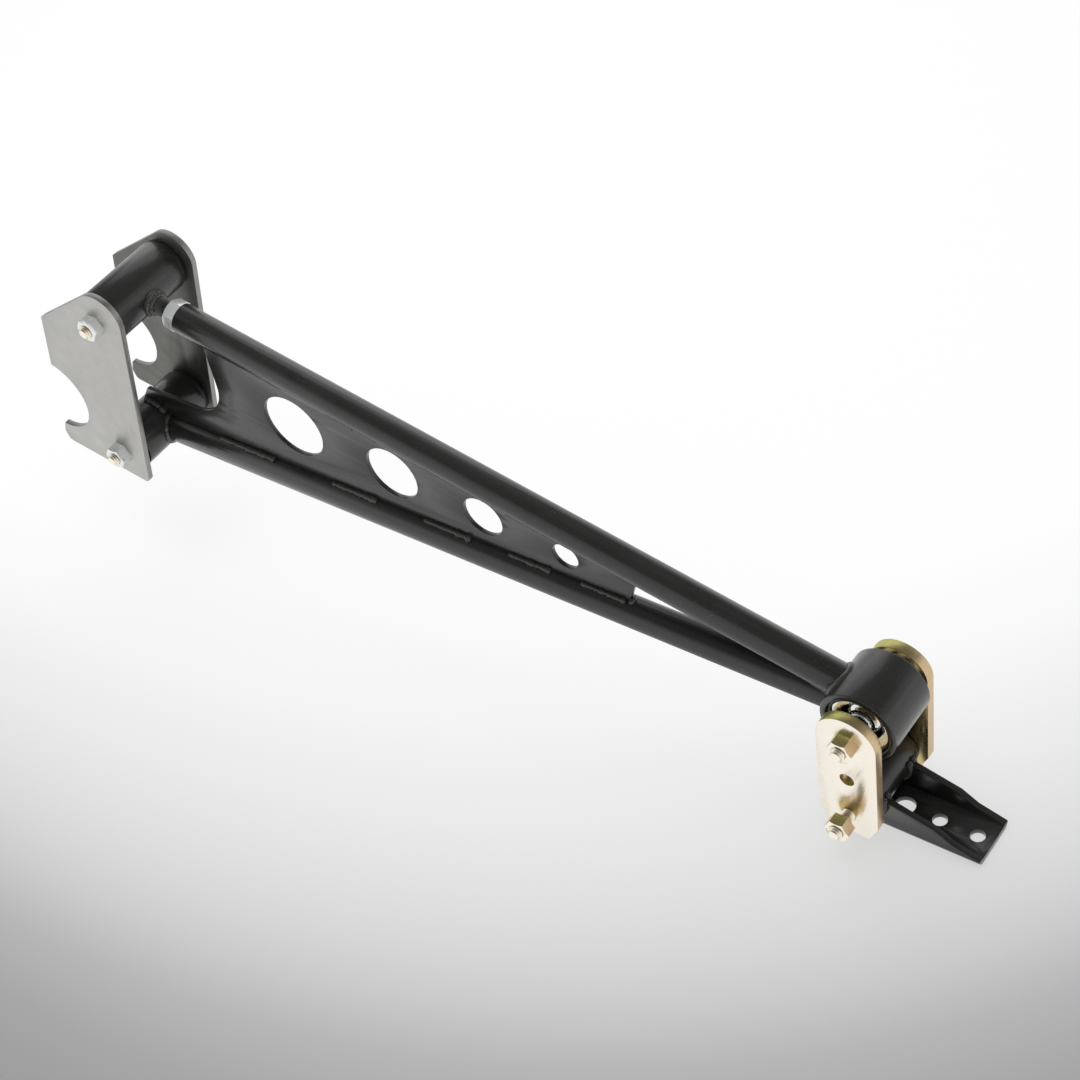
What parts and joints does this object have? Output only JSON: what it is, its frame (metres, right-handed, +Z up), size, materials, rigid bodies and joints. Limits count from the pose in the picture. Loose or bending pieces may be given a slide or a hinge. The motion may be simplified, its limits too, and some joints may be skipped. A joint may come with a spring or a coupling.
{
  "type": "traction bar",
  "caption": "Ladder-type traction bar: hooked axle plates, two tubes with a drilled web, a flex joint, a shackle and a drilled frame bracket.",
  "frame": {"origin": "centre of the axle seat, midway between the two axle plates", "axes": "+X along the bar from the axle end to the flex joint, +Y across it along the axle seat, +Z up"},
  "size_m": [1.0764, 0.146, 0.3641],
  "materials": {
    "mill_steel": "bare mill steel, laser-cut",
    "black_powder_coat": "gloss black powder coat",
    "black_polyurethane": "moulded polyurethane, satin",
    "bright_zinc": "bright zinc plate",
    "yellow_zinc": "yellow zinc plate with a pale sheen",
    "plain_steel": "drawn steel tube",
    "race_polymer": "moulded race, matt",
    "polished_steel": "polished",
    "dark_spring_steel": "phosphated spring steel"
  },
  "bodies": {
    "bar": {"axle_plate_near": "mill_steel", "axle_plate_far": "mill_steel", "upper_bush_sleeve": "black_powder_coat", "lower_bush_sleeve": "black_powder_coat", "link_stud": "black_powder_coat", "upper_tube": "black_powder_coat", "lower_tube": "black_powder_coat", "web_plate": "black_powder_coat", "joint_housing": "black_powder_coat", "upper_bush_near": "black_polyurethane", "upper_bush_far": "black_polyurethane", "lower_bush_near": "black_polyurethane", "lower_bush_far": "black_polyurethane", "jam_nut": "bright_zinc", "upper_pivot_nut": "bright_zinc", "lower_pivot_nut": "bright_zinc", "upper_pivot_bolt": "yellow_zinc", "lower_pivot_bolt": "yellow_zinc", "upper_crush_tube": "plain_steel", "lower_crush_tube": "plain_steel", "joint_race_near": "race_polymer", "joint_race_far": "race_polymer", "joint_cup_washer_near": "polished_steel", "joint_cup_washer_far": "polished_steel", "joint_snap_ring_near": "dark_spring_steel", "joint_snap_ring_far": "dark_spring_steel"},
    "ball": {"joint_ball": "polished_steel"},
    "shackle": {"shackle_plate_near": "yellow_zinc", "shackle_plate_far": "yellow_zinc", "shackle_upper_bolt": "yellow_zinc", "shackle_upper_nut": "yellow_zinc", "shackle_lower_bolt": "yellow_zinc", "shackle_lower_nut": "yellow_zinc", "shackle_crush_tube": "plain_steel"},
    "bracket": {"frame_bracket": "black_powder_coat", "bracket_bush_sleeve": "black_powder_coat", "bracket_bush_near": "black_polyurethane", "bracket_bush_far": "black_polyurethane"}
  },
  "joints": [
    {"name": "flex_joint_roll", "type": "hinge", "parent": "bar", "child": "ball", "pos_m": [0.953, 0, -0.0555], "axis": [1, 0, 0], "range_deg": [-12, 12]},
    {"name": "shackle_swing", "type": "hinge", "parent": "ball", "child": "shackle", "pos_m": [0.953, 0, -0.0555], "axis": [0, 1, 0], "range_deg": [-40, 40]},
    {"name": "bracket_pivot", "type": "hinge", "parent": "shackle", "child": "bracket", "pos_m": [0.94855, 0, -0.1574], "axis": [0, 1, 0], "range_deg": [-45, 35]}
  ]
}
